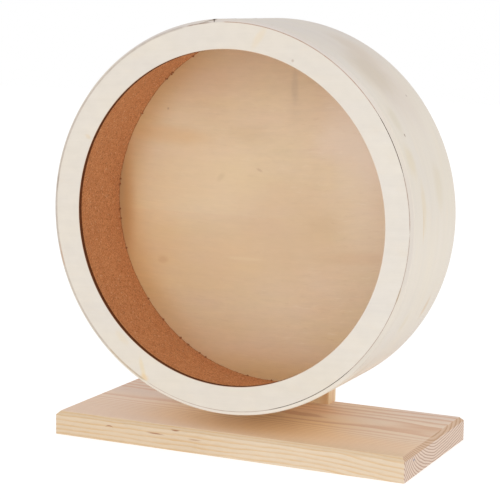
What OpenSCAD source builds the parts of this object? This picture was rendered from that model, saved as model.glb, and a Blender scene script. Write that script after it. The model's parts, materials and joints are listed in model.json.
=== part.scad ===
// Rodent exercise wheel: a bent-plywood running drum, lined with cork and closed at
// the back, on a ball-bearing hub bolted to an upright post on a pine base board.
// Millimetres. +Z is up, the drum's open face looks along -Y, and the origin is the
// centre of the base board's underside.

/* [Drum] */
// Outside diameter of the drum
wheel_d = 280; // [200:5:340]
// Depth of the drum from its front edge to its back edge
drum_depth = 88; // [60:1:120]
// Thickness of the bent plywood skin
skin_t = 2.7; // [2:0.1:4]
// Thickness of the front ring
ring_t = 4; // [3:0.5:8]
// Width of the front ring's face, from its opening to its rim
ring_w = 17.7; // [10:0.1:30]
// Thickness of the back panel
panel_t = 4; // [3:0.5:8]
// Thickness of the cork running surface
cork_t = 5; // [2:0.5:8]
// Gap round the front ring and the back panel where they sit in the skin
seat_gap = 0.4; // [0.1:0.1:0.6]
// Sanded bevel along the plywood's edges
edge_break = 0.4; // [0.2:0.1:0.8]

/* [Joints in the bent strips] */
// Length round the rim of the scarf joint where the skin's ends meet
scarf_len = 17; // [8:1:40]
// Outer end of the scarf joint, in degrees above the drum's right side
scarf_at = 94; // [0:1:359]
// Width of the glue line in the scarf joint
glue_line = 0.2; // [0.1:0.05:0.5]
// Where the cork's ends meet, in degrees above the drum's right side
cork_joint_at = 78; // [0:1:359]
// Gap between the cork's ends
cork_joint_gap = 0.6; // [0.3:0.1:2]

/* [Hub] */
// Diameter of the round hub block behind the back panel
hub_d = 70; // [40:1:110]
// Bevel round the hub block's rear edge
hub_bevel = 2; // [0.5:0.5:5]
// Wood left between the two bearing seats
hub_rib_t = 3; // [2:0.5:12]
// Diameter of the hole through that wood
hub_rib_bore = 18; // [14:0.5:19]
// Free space between the bolt's head and the back panel
head_room = 0.7; // [0.3:0.1:3]

/* [Ball bearings] */
// Bore of a bearing
bearing_bore = 8; // [8:0.05:8.4]
// Outside diameter of a bearing
bearing_d = 22; // [21.6:0.1:26]
// Width of a bearing
bearing_w = 7; // [6.6:0.1:9]
// Diameter of a ball
ball_d = 3.97; // [3.6:0.01:4.1]
// Number of balls in a bearing
ball_count = 7; // [5:1:7]
// Depth of the ball grooves below the races' shoulders
groove_depth = 0.55; // [0.3:0.05:0.7]
// Running gap between a ball and its grooves
groove_gap = 0.05; // [0.02:0.01:0.08]
// Bevel along the races' outer and inner edges
race_break = 0.3; // [0.1:0.1:0.5]
// Thickness of the sheet that the shields are stamped from
shield_t = 0.3; // [0.2:0.05:0.4]
// How far a shield lies below the bearing's face
shield_inset = 0.3; // [0.2:0.05:0.4]
// Height of the step in the outer race that a shield is pressed into
shield_step = 0.65; // [0.3:0.05:0.9]
// Running gap between a shield and the inner race
shield_gap = 0.3; // [0.2:0.05:0.6]
// Thickness of the cage's wall, measured along the radius
cage_wall_t = 1.5; // [1:0.1:1.8]
// Thickness of the cage's rims beside the balls
cage_rim_t = 0.3; // [0.2:0.05:0.4]
// Gap between a ball and its pocket in the cage
cage_gap = 0.1; // [0.05:0.01:0.2]

/* [Axle bolt and its stack] */
// Diameter of the bolt's shank
bolt_d = 7.9; // [7:0.05:7.98]
// Width of the hexagons across their flats
hex_af = 13; // [12:0.5:14]
// Height of the bolt's head
head_t = 5.3; // [4:0.1:7]
// Height of the round face under the bolt's head
head_face_t = 0.4; // [0.3:0.05:0.8]
// Outside diameter of the spacers between and behind the bearings
spacer_d = 11.6; // [10.5:0.1:12]
// Length of the spacer behind the rear bearing
rear_spacer_len = 1.4; // [0.8:0.1:10]
// Outside diameter of a washer
washer_d = 16; // [15:0.5:30]
// Hole in a washer
washer_bore = 8.4; // [8.2:0.1:9]
// Thickness of a washer
washer_t = 1.6; // [1:0.1:3]
// Height of the lock nut
nut_t = 8; // [7:0.1:10]
// Height of the nylon ring in the lock nut
insert_t = 2; // [1.5:0.1:2.5]
// Outside diameter of the nylon ring
insert_d = 10.4; // [10:0.1:10.8]
// Thickness of the nut's collar round the nylon ring
insert_wall_t = 0.8; // [0.5:0.1:0.9]
// Thickness of the lip that the collar turns in over the nylon ring
insert_lip_t = 0.3; // [0.2:0.05:0.5]
// Length of bolt that stands past the lock nut
bolt_tip = 5.4; // [1:0.1:20]
// Bevel on the bolt's end and on the corners of the hexagons
steel_break = 0.8; // [0.4:0.1:1]

/* [Stand] */
// Length of the base board
base_len = 278; // [200:1:400]
// Depth of the base board, front to back
base_depth = 131; // [100:1:220]
// Thickness of the base board
base_t = 18; // [12:1:30]
// Bevel along the base board's top edges
base_bevel = 3; // [1:0.5:6]
// Width of the upright post
post_w = 70; // [40:1:110]
// Thickness of the upright post
post_t = 15; // [12:0.5:24]
// Sanded bevel along the post's edges
post_break = 1; // [0.5:0.5:3]
// Diameter of the hole through the post for the bolt
post_bore = 8.6; // [8.2:0.1:10]
// Free height between the base board and the drum
wheel_clearance = 13.5; // [5:0.5:40]

/* [Base screws] */
// Diameter of a screw's shank
screw_d = 4; // [3:0.5:5]
// Overall length of a screw
screw_len = 45; // [35:1:60]
// Diameter of a screw's head
screw_head_d = 8; // [6.5:0.5:10]
// Height of the rim round a screw's head
screw_rim_t = 0.5; // [0.2:0.1:1]
// Diameter of the blunt end of a screw's point
screw_tip_d = 0.5; // [0.2:0.1:1]
// Length of a screw's point
screw_point_len = 5; // [3:0.5:8]
// How far a screw's head lies below the base board's underside
screw_sink = 0.5; // [0.2:0.1:1.5]
// Distance between the two screws
screw_spacing = 40; // [20:1:60]
// Width of the slots of a screw's cross recess
recess_w = 0.9; // [0.6:0.1:1.2]
// Depth of a screw's cross recess
recess_depth = 1.8; // [1:0.1:2.2]
// Gap between a screw and the wood round it
screw_gap = 0.05; // [0.02:0.01:0.2]

/* [Hidden] */
$fn = 96;
// A cut runs this far past the face that it opens
over = 1;

// Places along Y, worked out from the back of the stand to the drum's front edge
post_back_y = base_depth/2;
post_front_y = post_back_y - post_t;
front_washer_y = post_front_y - washer_t;
hub_back_y = front_washer_y - rear_spacer_len;
rear_bearing_y = hub_back_y - bearing_w;
front_bearing_y = rear_bearing_y - hub_rib_t - bearing_w;
hub_front_y = front_bearing_y - head_t - head_room;
panel_front_y = hub_front_y - panel_t;
drum_front_y = hub_front_y - drum_depth;
ring_back_y = drum_front_y + ring_t;
nut_y = post_back_y + washer_t;
screw_y = post_front_y + post_t/2;

// Heights
axle_z = base_t + wheel_clearance + wheel_d/2;

// Radii and lengths of the drum
drum_r = wheel_d/2;
skin_in_r = drum_r - skin_t;
disc_r = skin_in_r - seat_gap;
opening_r = disc_r - ring_w;
cork_in_r = skin_in_r - cork_t;
cork_len = panel_front_y - ring_back_y;
hub_len = hub_back_y - hub_front_y;

// Radii of a bearing
pitch_r = (bearing_bore + bearing_d)/4;
ball_r = ball_d/2;
inner_land_r = pitch_r - ball_r + groove_depth;
outer_land_r = pitch_r + ball_r - groove_depth;
shield_seat_r = outer_land_r + shield_step;
shield_seat_depth = shield_inset + shield_t;

// Lengths of the bolt
clamped_len = post_back_y + washer_t - front_bearing_y;
bolt_len = clamped_len + nut_t + bolt_tip;
insert_z = nut_t - insert_t - insert_lip_t;

// Puts a piece that was drawn standing on the XY plane onto the axle, with its
// foot at Y and its top towards the post. Its X stays X and its Y points down.
module on_axle(y) {
    translate([0, y, axle_z])
        rotate([-90, 0, 0])
            children();
}

// A point on a circle round the axle as on_axle sees it, from an angle above the
// drum's right side
function rim_point(r, above) = [r*cos(above), -r*sin(above)];

// A flat ring with its four edges bevelled
module ring(r_in, r_out, t, edge) {
    rotate_extrude()
        polygon([
            [r_in + edge, 0], [r_out - edge, 0], [r_out, edge], [r_out, t - edge],
            [r_out - edge, t], [r_in + edge, t], [r_in, t - edge], [r_in, edge]
        ]);
}

// A flat disc with its two edges bevelled
module disc(r, t, low_edge, high_edge) {
    rotate_extrude()
        polygon([
            [0, 0], [r - low_edge, 0], [r, low_edge],
            [r, t - high_edge], [r - high_edge, t], [0, t]
        ]);
}

// A plain round hole from below z = 0 to above z = t
module bore(r, t) {
    translate([0, 0, -over])
        cylinder(r = r, h = t + 2*over);
}

// A plain tube
module collar(r_in, r_out, t) {
    difference() {
        cylinder(r = r_out, h = t);
        bore(r_in, t);
    }
}

// The slanted cut between the skin's two ends, which taper past each other
module scarf_cut() {
    outer = rim_point(drum_r, scarf_at);
    inner = rim_point(skin_in_r, scarf_at + scarf_len/drum_r*180/PI);
    run = (inner - outer)/norm(inner - outer);
    side = [-run.y, run.x]*glue_line/2;
    // At this slant the cut has left both faces of the skin well within its own length
    far_out = outer - run*scarf_len/2;
    far_in = inner + run*scarf_len/2;
    translate([0, 0, -over])
        linear_extrude(drum_depth + 2*over)
            polygon([far_out + side, far_in + side, far_in - side, far_out - side]);
}

module drum_skin() {
    color([0.90, 0.87, 0.81])
        on_axle(drum_front_y)
            difference() {
                ring(skin_in_r, drum_r, drum_depth, edge_break);
                scarf_cut();
            }
}

module front_ring() {
    color([0.91, 0.88, 0.84])
        on_axle(drum_front_y)
            ring(opening_r, disc_r, ring_t, edge_break);
}

module back_panel() {
    color([0.83, 0.70, 0.56])
        on_axle(panel_front_y)
            disc(disc_r, panel_t, edge_break, edge_break);
}

module cork_liner() {
    color([0.69, 0.43, 0.27])
        on_axle(ring_back_y)
            difference() {
                collar(cork_in_r, skin_in_r, cork_len);
                rotate([0, 0, -cork_joint_at])
                    translate([cork_in_r - over, -cork_joint_gap/2, -over])
                        cube([cork_t + 2*over, cork_joint_gap, cork_len + 2*over]);
            }
}

// The bearings go in from both sides against the rib, and the bolt's head fills the
// space in front of the front one
module hub_block() {
    color([0.85, 0.72, 0.55])
        on_axle(hub_front_y)
            difference() {
                disc(hub_d/2, hub_len, edge_break, hub_bevel);
                bore(hub_rib_bore/2, hub_len);
                translate([0, 0, -over])
                    cylinder(d = bearing_d, h = over + front_bearing_y + bearing_w - hub_front_y);
                translate([0, 0, hub_len - bearing_w])
                    cylinder(d = bearing_d, h = bearing_w + over);
            }
}

// Draws its children once for each ball of a bearing that stands on z = 0
module at_each_ball() {
    for (i = [0 : ball_count - 1])
        rotate([0, 0, i*360/ball_count])
            translate([pitch_r, 0, bearing_w/2])
                children();
}

// The round groove that the balls run in, cut into both races
module ball_groove() {
    translate([0, 0, bearing_w/2])
        rotate_extrude()
            translate([pitch_r, 0])
                circle(r = ball_r + groove_gap);
}

module inner_race() {
    bore_r = bearing_bore/2;
    difference() {
        rotate_extrude()
            polygon([
                [bore_r + race_break, 0], [inner_land_r, 0], [inner_land_r, bearing_w],
                [bore_r + race_break, bearing_w], [bore_r, bearing_w - race_break],
                [bore_r, race_break]
            ]);
        ball_groove();
    }
}

module outer_race() {
    rim_r = bearing_d/2;
    low_seat = shield_seat_depth;
    high_seat = bearing_w - shield_seat_depth;
    difference() {
        rotate_extrude()
            polygon([
                [shield_seat_r, 0], [rim_r - race_break, 0], [rim_r, race_break],
                [rim_r, bearing_w - race_break], [rim_r - race_break, bearing_w],
                [shield_seat_r, bearing_w], [shield_seat_r, high_seat],
                [outer_land_r, high_seat], [outer_land_r, low_seat],
                [shield_seat_r, low_seat]
            ]);
        ball_groove();
    }
}

// A flat steel washer pressed into each face of the outer race
module shields() {
    for (z = [shield_inset, bearing_w - shield_seat_depth])
        translate([0, 0, z])
            collar(inner_land_r + shield_gap, shield_seat_r, shield_t);
}

module balls() {
    at_each_ball()
        sphere(d = ball_d);
}

// A cage: a short tube with a round pocket drilled through its wall for each ball
module cage() {
    pocket_r = ball_r + cage_gap;
    cage_len = 2*(pocket_r + cage_rim_t);
    difference() {
        translate([0, 0, (bearing_w - cage_len)/2])
            collar(pitch_r - cage_wall_t/2, pitch_r + cage_wall_t/2, cage_len);
        at_each_ball()
            rotate([0, 90, 0])
                cylinder(r = pocket_r, h = cage_wall_t + 2*over, center = true);
    }
}

module front_bearing_inner_race() {
    color([0.75, 0.76, 0.78])
        on_axle(front_bearing_y)
            inner_race();
}

module rear_bearing_inner_race() {
    color([0.75, 0.76, 0.78])
        on_axle(rear_bearing_y)
            inner_race();
}

module front_bearing_outer_race() {
    color([0.72, 0.73, 0.75])
        on_axle(front_bearing_y)
            outer_race();
}

module rear_bearing_outer_race() {
    color([0.72, 0.73, 0.75])
        on_axle(rear_bearing_y)
            outer_race();
}

module front_bearing_shields() {
    color([0.65, 0.66, 0.68])
        on_axle(front_bearing_y)
            shields();
}

module rear_bearing_shields() {
    color([0.65, 0.66, 0.68])
        on_axle(rear_bearing_y)
            shields();
}

module front_bearing_balls() {
    color([0.85, 0.86, 0.88])
        on_axle(front_bearing_y)
            balls();
}

module rear_bearing_balls() {
    color([0.85, 0.86, 0.88])
        on_axle(rear_bearing_y)
            balls();
}

module front_bearing_cage() {
    color([0.86, 0.82, 0.72])
        on_axle(front_bearing_y)
            cage();
}

module rear_bearing_cage() {
    color([0.86, 0.82, 0.72])
        on_axle(rear_bearing_y)
            cage();
}

module bearing_spacer_sleeve() {
    color([0.78, 0.79, 0.80])
        on_axle(front_bearing_y + bearing_w)
            collar(bearing_bore/2, spacer_d/2, hub_rib_t);
}

module rear_spacer_ring() {
    color([0.78, 0.79, 0.80])
        on_axle(hub_back_y)
            collar(bearing_bore/2, spacer_d/2, rear_spacer_len);
}

module washer() {
    collar(washer_bore/2, washer_d/2, washer_t);
}

module front_post_washer() {
    color([0.80, 0.81, 0.82])
        on_axle(front_washer_y)
            washer();
}

module rear_post_washer() {
    color([0.80, 0.81, 0.82])
        on_axle(post_back_y)
            washer();
}

// A hexagonal bar, as wide across its flats as the spanner that fits it
module hexagon(t) {
    cylinder(r = hex_af/2/cos(30), h = t, $fn = 6);
}

// A round blank with a bevelled foot, which takes the corners off that end of a
// hexagon when the two are intersected
module corner_blank(t) {
    corner_r = hex_af/2/cos(30);
    cylinder(r1 = corner_r - steel_break, r2 = corner_r, h = steel_break/2);
    translate([0, 0, steel_break/2])
        cylinder(r = corner_r, h = t - steel_break/2);
}

// The head is at z = 0 and faces the back panel, and the shank runs through the
// bearings and the post
module axle_bolt() {
    shank_r = bolt_d/2;
    hex_t = head_t - head_face_t;
    color([0.70, 0.71, 0.73])
        on_axle(front_bearing_y - head_t) {
            intersection() {
                hexagon(hex_t);
                corner_blank(hex_t);
            }
            translate([0, 0, hex_t])
                cylinder(d = spacer_d, h = head_face_t);
            translate([0, 0, head_t])
                cylinder(r = shank_r, h = bolt_len - steel_break);
            translate([0, 0, head_t + bolt_len - steel_break])
                cylinder(r1 = shank_r, r2 = shank_r - steel_break, h = steel_break);
        }
}

// A hexagon with a round collar, turned in over the nylon ring that it holds
module lock_nut() {
    color([0.74, 0.75, 0.77])
        on_axle(nut_y)
            difference() {
                union() {
                    intersection() {
                        hexagon(insert_z);
                        corner_blank(insert_z);
                        translate([0, 0, insert_z])
                            mirror([0, 0, 1])
                                corner_blank(insert_z);
                    }
                    translate([0, 0, insert_z])
                        disc(insert_d/2 + insert_wall_t, nut_t - insert_z, 0, insert_wall_t/2);
                }
                bore(bearing_bore/2, nut_t);
                translate([0, 0, insert_z])
                    cylinder(d = insert_d, h = insert_t);
                translate([0, 0, insert_z])
                    cylinder(d = insert_d - 2*insert_lip_t, h = nut_t);
            }
}

module lock_nut_insert() {
    color([0.30, 0.45, 0.70])
        on_axle(nut_y + insert_z)
            collar(bearing_bore/2, insert_d/2, insert_t);
}

// A board lying on its underside, with its four top edges bevelled
module bevelled_board(length, depth, t, bevel) {
    intersection() {
        rotate([90, 0, 0])
            linear_extrude(depth, center = true)
                bevelled_end(length, t, bevel);
        rotate([90, 0, 90])
            linear_extrude(length, center = true)
                bevelled_end(depth, t, bevel);
    }
}

module bevelled_end(width, t, bevel) {
    half = width/2;
    polygon([
        [-half, 0], [half, 0], [half, t - bevel], [half - bevel, t],
        [bevel - half, t], [-half, t - bevel]
    ]);
}

// A countersunk wood screw that stands on its head. With a gap it is the hole for it.
module screw_shape(gap) {
    shank_r = screw_d/2 + gap;
    head_r = screw_head_d/2 + gap;
    cone_top = screw_rim_t + head_r - shank_r;
    tip_z = screw_len + gap;
    rotate_extrude()
        polygon([
            [0, 0], [head_r, 0], [head_r, screw_rim_t], [shank_r, cone_top],
            [shank_r, tip_z - screw_point_len], [screw_tip_d/2 + gap, tip_z], [0, tip_z]
        ]);
}

module at_each_screw() {
    for (x = [-screw_spacing/2, screw_spacing/2])
        translate([x, screw_y, screw_sink])
            children();
}

module screw_holes() {
    at_each_screw() {
        screw_shape(screw_gap);
        translate([0, 0, -screw_sink - over])
            cylinder(r = screw_head_d/2 + screw_gap, h = screw_sink + 2*over);
    }
}

module base_screws() {
    color([0.82, 0.76, 0.55])
        at_each_screw()
            difference() {
                screw_shape(0);
                for (turn = [0, 90])
                    rotate([0, 0, turn])
                        translate([-screw_d/2, -recess_w/2, -over])
                            cube([screw_d, recess_w, recess_depth + over]);
            }
}

module base_board() {
    color([0.88, 0.76, 0.62])
        difference() {
            bevelled_board(base_len, base_depth, base_t, base_bevel);
            screw_holes();
        }
}

// The post's section from above: a rectangle with its four corners bevelled
module post_section() {
    x = post_w/2;
    y = post_t/2;
    polygon([
        [post_break - x, -y], [x - post_break, -y], [x, post_break - y], [x, y - post_break],
        [x - post_break, y], [post_break - x, y], [-x, y - post_break], [-x, post_break - y]
    ]);
}

// Straight up to the axle, and round over it
module post_blank() {
    translate([0, screw_y, base_t])
        linear_extrude(axle_z - base_t)
            post_section();
    on_axle(post_front_y)
        disc(post_w/2, post_t, post_break, post_break);
}

module upright_post() {
    color([0.87, 0.73, 0.56])
        difference() {
            post_blank();
            on_axle(post_front_y)
                bore(post_bore/2, post_t);
            screw_holes();
        }
}

base_board();
upright_post();
base_screws();
axle_bolt();
front_bearing_inner_race();
bearing_spacer_sleeve();
rear_bearing_inner_race();
rear_spacer_ring();
front_post_washer();
rear_post_washer();
lock_nut();
lock_nut_insert();
drum_skin();
front_ring();
back_panel();
cork_liner();
hub_block();
front_bearing_outer_race();
front_bearing_shields();
rear_bearing_outer_race();
rear_bearing_shields();
front_bearing_balls();
front_bearing_cage();
rear_bearing_balls();
rear_bearing_cage();
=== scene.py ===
# %% [markdown]
# # A wooden running wheel with a cork track
#
# The object is a running wheel for a small pet: a drum of bent plywood with a flat ring
# at its mouth, a round back panel and a cork track inside. It turns on a bolt through
# an upright post on a pine board. The frame that is loaded here already holds every
# piece at its real size. What is left is what the eye reads as wood and cork: grain,
# growth rings, scorched edges, crumbs and the lapped seam.

# %% Load the frame
import json
import math

import bmesh
import bpy
import numpy as np
from mathutils import Matrix, Vector, noise


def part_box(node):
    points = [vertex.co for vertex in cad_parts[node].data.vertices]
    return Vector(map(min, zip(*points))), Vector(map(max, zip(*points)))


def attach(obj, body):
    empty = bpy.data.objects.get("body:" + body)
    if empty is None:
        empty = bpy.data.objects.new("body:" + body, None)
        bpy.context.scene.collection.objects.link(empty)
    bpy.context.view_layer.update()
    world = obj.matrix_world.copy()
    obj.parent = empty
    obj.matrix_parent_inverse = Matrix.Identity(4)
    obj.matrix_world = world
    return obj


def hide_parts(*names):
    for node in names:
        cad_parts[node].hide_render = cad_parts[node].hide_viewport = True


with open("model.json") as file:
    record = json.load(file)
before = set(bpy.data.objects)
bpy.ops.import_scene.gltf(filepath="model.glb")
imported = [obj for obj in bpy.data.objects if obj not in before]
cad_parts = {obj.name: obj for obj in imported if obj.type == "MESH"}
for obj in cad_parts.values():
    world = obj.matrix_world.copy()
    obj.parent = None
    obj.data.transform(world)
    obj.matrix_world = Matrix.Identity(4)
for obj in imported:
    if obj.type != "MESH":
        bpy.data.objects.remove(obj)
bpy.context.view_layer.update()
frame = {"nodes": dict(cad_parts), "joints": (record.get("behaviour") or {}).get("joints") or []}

mm = 0.001

# %% [markdown]
# ## Reading sizes off the frame
#
# Everything in the drum is round and sits on the axle. Its sizes could be typed in again,
# but then they could drift from the frame, so each piece is measured instead. Shapes are
# worked out in millimetres and turned into metres at the end.

# %% Measure the round pieces
axle = Vector(next(j for j in frame["joints"] if j["name"] == "wheel_spin")["pos_m"]) / mm


def turned_size(node):
    """Least and greatest radius about the axle, and the two ends along Y."""
    points = np.array([v.co for v in frame["nodes"][node].data.vertices]) / mm
    radius = np.hypot(points[:, 0] - axle.x, points[:, 2] - axle.z)
    front, back = points[:, 1].min(), points[:, 1].max()
    return float(radius.min()), float(radius.max()), float(front), float(back)


def box_size(node):
    """Lowest and highest corner of a node in millimetres."""
    low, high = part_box(node)
    return low / mm, high / mm


skin_in, drum_r, drum_front, drum_back = turned_size("drum_skin")
mouth_r, _, ring_front, ring_back = turned_size("front_ring")
_, panel_r, panel_front, panel_back = turned_size("back_panel")
track_r, _, track_front, track_back = turned_size("cork_liner")
print("drum radius %.1f, mouth radius %.1f" % (drum_r, mouth_r))
print("cork from y %.1f to %.1f" % (track_front, track_back))

# %% [markdown]
# ## The camera
#
# The photograph was taken with a long lens from a little over a metre, to the right of
# the wheel and slightly above it. Angles, distance and lens were found by matching the
# circles of the drum and the corners of the board. A camera looks along its own -Z, so
# its three axes are put together by hand and written into its matrix.

# %% Place the camera
camera_turn = math.radians(25.9)
camera_rise = math.radians(9.58)
camera_roll = math.radians(0.65)
camera_aim = Vector((-1.9, -63.6, 130.4))
camera_distance = 1171
camera_lens = 119.3
camera_shift = 0.056

back = Vector((
    math.sin(camera_turn) * math.cos(camera_rise),
    -math.cos(camera_turn) * math.cos(camera_rise),
    math.sin(camera_rise),
))
level = Vector((math.cos(camera_turn), math.sin(camera_turn), 0))
upright = back.cross(level)
right = level * math.cos(camera_roll) + upright * math.sin(camera_roll)
up = upright * math.cos(camera_roll) - level * math.sin(camera_roll)

scene = bpy.context.scene
camera = bpy.data.objects.new("photo_camera", bpy.data.cameras.new("photo_camera"))
scene.collection.objects.link(camera)
camera.matrix_world = Matrix((right, up, back)).transposed().to_4x4()
camera.location = (camera_aim + back * camera_distance) * mm
camera.data.lens = camera_lens
camera.data.shift_x = camera_shift
camera.data.shift_y = camera_shift
scene.camera = camera
print("camera at", [round(v, 3) for v in camera.location])

# %% [markdown]
# ## Light
#
# This is a catalogue picture: the backdrop is pure white and no shadow has an edge. So a
# white sky does nearly all of the work, and it shows brighter than it lights. A weak,
# wide light in front, on the camera's side, lifts the faces that look forward. Colours
# must come out as painted, so the view transform is the plain one.

# %% Sky and front light
sky_light = 0.85
light_power = 4.0
light_turn = math.radians(20)
light_far = 1700
light_height = 420
light_wide = 1600
light_high = 1000
lit_height = 120
warm_white = (1.0, 0.96, 0.9)

scene.view_settings.view_transform = "Standard"
sky = bpy.data.worlds.new("white_sky")
scene.world = sky
sky.use_nodes = True
seen = sky.node_tree.nodes.new("ShaderNodeLightPath")
level_of_sky = sky.node_tree.nodes.new("ShaderNodeMapRange")
level_of_sky.inputs["To Min"].default_value = sky_light
backdrop = sky.node_tree.nodes["Background"]
backdrop.inputs["Color"].default_value = (1, 1, 1, 1)
sky.node_tree.links.new(seen.outputs["Is Camera Ray"], level_of_sky.inputs["Value"])
sky.node_tree.links.new(level_of_sky.outputs["Result"], backdrop.inputs["Strength"])

soft_panel = bpy.data.lights.new("soft_panel", "AREA")
soft_panel.shape = "RECTANGLE"
soft_panel.size = light_wide * mm
soft_panel.size_y = light_high * mm
soft_panel.energy = light_power
soft_panel.color = warm_white
front_light = bpy.data.objects.new("soft_panel", soft_panel)
scene.collection.objects.link(front_light)
front_light.location = Vector((
    light_far * math.sin(light_turn),
    -light_far * math.cos(light_turn),
    light_height,
)) * mm
aim = front_light.location - Vector((0, 0, lit_height)) * mm
front_light.rotation_euler = aim.to_track_quat("Z", "Y").to_euler()
print("front light turned", [round(math.degrees(a)) for a in front_light.rotation_euler])

# %% [markdown]
# ## A small language for finishes
#
# A finish is a tree of nodes, and placing each node by hand hides what it works out.
# This class wraps one socket, so that a finish is written as plain sums: `1 - mask` adds
# the node that does it. Numbers go through Math nodes, and colours and places through
# Vector Math, because a Math node would turn a colour grey.

# %% Shade: a socket that can be added and multiplied
class Shade:
    """A socket of a finish. Sums and products of shades add the nodes for them."""

    def __init__(self, tree, socket=None):
        self.tree = tree
        self.socket = socket

    def node(self, kind, settings=(), sockets=(), output=0):
        """Add any node: its settings first, then a value or a link for each socket."""
        made = self.tree.nodes.new("ShaderNode" + kind)
        for name, value in dict(settings).items():
            setattr(made, name, value)
        for name, value in dict(sockets).items():
            if isinstance(value, Shade):
                self.tree.links.new(value.socket, made.inputs[name])
            else:
                set_socket(made.inputs[name], value)
        return Shade(self.tree, made.outputs[output] if made.outputs else None)

    def sum_node(self, operation, *terms):
        """A Math node, or a Vector Math node where a colour or a place takes part."""
        kind = "VectorMath" if any(is_wide(t) for t in terms) else "Math"
        return self.node(kind, {"operation": operation}, dict(enumerate(terms)))

    def __add__(self, other):
        return self.sum_node("ADD", self, other)

    def __sub__(self, other):
        return self.sum_node("SUBTRACT", self, other)

    def __rsub__(self, other):
        return self.sum_node("SUBTRACT", other, self)

    def __mul__(self, other):
        return self.sum_node("MULTIPLY", self, other)

    def __truediv__(self, other):
        return self.sum_node("DIVIDE", self, other)

    __radd__ = __add__
    __rmul__ = __mul__

    def least(self, other):
        return self.sum_node("MINIMUM", self, other)

    def root(self):
        return self.sum_node("SQRT", self)

    def size(self):
        """Length of a vector, or a number without its sign."""
        if not is_wide(self):
            return self.sum_node("ABSOLUTE", self)
        return self.node("VectorMath", {"operation": "LENGTH"}, {0: self}, output="Value")

    def within(self):
        """What is left above the last whole number."""
        return self.sum_node("FRACT", self)

    def rises(self, low, high):
        """0 below low and 1 above high, with a smooth slope between."""
        return self.node(
            "MapRange",
            {"interpolation_type": "SMOOTHSTEP"},
            {"Value": self, "From Min": low, "From Max": high},
        )

    def falls(self, low, high):
        return 1 - self.rises(low, high)

    def near(self, centre, reach):
        """1 at centre, fading to 0 at reach on either side."""
        return (self - centre).size().falls(0, reach)

    def parts(self):
        """The X, Y and Z of a vector."""
        apart = self.node("SeparateXYZ", (), {0: self})
        outputs = apart.socket.node.outputs
        return [Shade(self.tree, outputs[i]) for i in range(3)]

    def point(self, x, y, z):
        """A vector from three numbers or shades."""
        return self.node("CombineXYZ", (), {0: x, 1: y, 2: z})

    def cloud(self, blob, detail=2.0, shift=0.0):
        """Smooth noise from about -1 to 1, with blobs of one size or one for each axis."""
        at = self / blob + (shift, 2 * shift, 3 * shift)
        fog = {"Vector": at, "Scale": 1.0, "Detail": detail}
        return self.node("TexNoise", (), fog) * 2 - 1

    def blot(self, centre, reach, ragged=0.0):
        """A soft spot: 1 at a point of this place, and 0 past its reach along X, Y, Z."""
        far = ((self - centre) / reach).size()
        if ragged:
            far = far + ragged * self.cloud(0.4 * max(reach), 3.0)
        return far.falls(0.25, 1.0)

    def tint(self, *colours):
        """First colour where this mask is 0, second where it is 1. Tones get painted."""
        first, second = [c if isinstance(c, Shade) else paint(*c) for c in colours]
        return self.node(
            "Mix", {"data_type": "RGBA"}, {0: self, 6: first, 7: second}, output=2
        )

    def dyed(self, mask, tone):
        """This colour with a tone laid over it where the mask is 1."""
        return mask.tint(self, tone)

    def toned(self, mask, share):
        """This colour made lighter or darker by a share where the mask is 1."""
        return self * (1 + mask * share)


def is_wide(term):
    """True for a colour or a vector, False for a single number."""
    if isinstance(term, Shade):
        return term.socket.type != "VALUE"
    return not isinstance(term, (int, float))


def set_socket(socket, value):
    """Set an unlinked socket from one number or from three."""
    if socket.type == "RGBA":
        socket.default_value = (*value, 1)
    elif socket.type == "VECTOR" and not is_wide(value):
        socket.default_value = (value, value, value)
    else:
        socket.default_value = value


print("one number is wide: %s, a colour is wide: %s" % (is_wide(1.0), is_wide((1, 1, 1))))

# %% [markdown]
# Tones are written as a picture editor shows them, from 0 to 255. Light adds up on
# another scale, so a tone is turned into the light's own units before it is used.

# %% Paint a tone
def paint(red, green, blue):
    """A tone from 0 to 255 in the light's own units."""
    def linear(value):
        value = value / 255
        return value / 12.92 if value <= 0.04045 else ((value + 0.055) / 1.055) ** 2.4

    return (linear(red), linear(green), linear(blue))


print("cream in light units:", [round(v, 3) for v in paint(233, 224, 208)])

# %% [markdown]
# ## Starting and closing a finish
#
# Every finish starts from the piece's own place in millimetres and ends in one shader.
# The place is the object's, not the camera's, so grain turns with the wheel. Relief is a
# height in millimetres, so a bump can be read as a real depth.

# %% Begin and close a finish
def begin(name):
    """A new finish, the place in mm, and the direction the surface faces."""
    print("finish:", name)
    finish = bpy.data.materials.new(name)
    finish.use_nodes = True
    finish.node_tree.nodes.clear()
    bench = Shade(finish.node_tree)
    place = bench.node("TexCoord", output="Object") * (1 / mm)
    facing = bench.node("TexCoord", output="Normal")
    return finish, place, facing


def close(finish, colour, roughness, relief=None, shine=0.5, **fixed):
    """End a finish with its shader. Relief is in mm, and fixed sockets stay plain."""
    sockets = {"Base Color": colour, "Roughness": roughness, "Specular IOR Level": shine}
    if relief is not None:
        sockets["Normal"] = relief.node(
            "Bump", (), {"Height": relief, "Distance": mm, "Strength": 1.0}
        )
    for name, value in fixed.items():
        sockets[name.replace("_", " ")] = value
    shader = colour.node("BsdfPrincipled", (), sockets)
    colour.node("OutputMaterial", (), {"Surface": shader})
    return finish


def round_the_axle(place, start):
    """Degrees above the drum's right side, from a start onwards, and the radius."""
    turn = math.radians(start)
    x, _, z = (place - tuple(axle)).parts()
    along = -1 * (x * math.cos(turn) + z * math.sin(turn))
    aside = -1 * (z * math.cos(turn) - x * math.sin(turn))
    angle = aside.sum_node("ARCTAN2", aside, along) * math.degrees(1)
    radius = place.point(x, 0, z).size()
    return angle + (180 + start), radius


def same_turn(angle, start):
    """The same direction as an angle, counted from the start onwards."""
    return start + (angle - start) % 360


print("10 degrees, counted from 94 onwards:", same_turn(10, 94))

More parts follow.
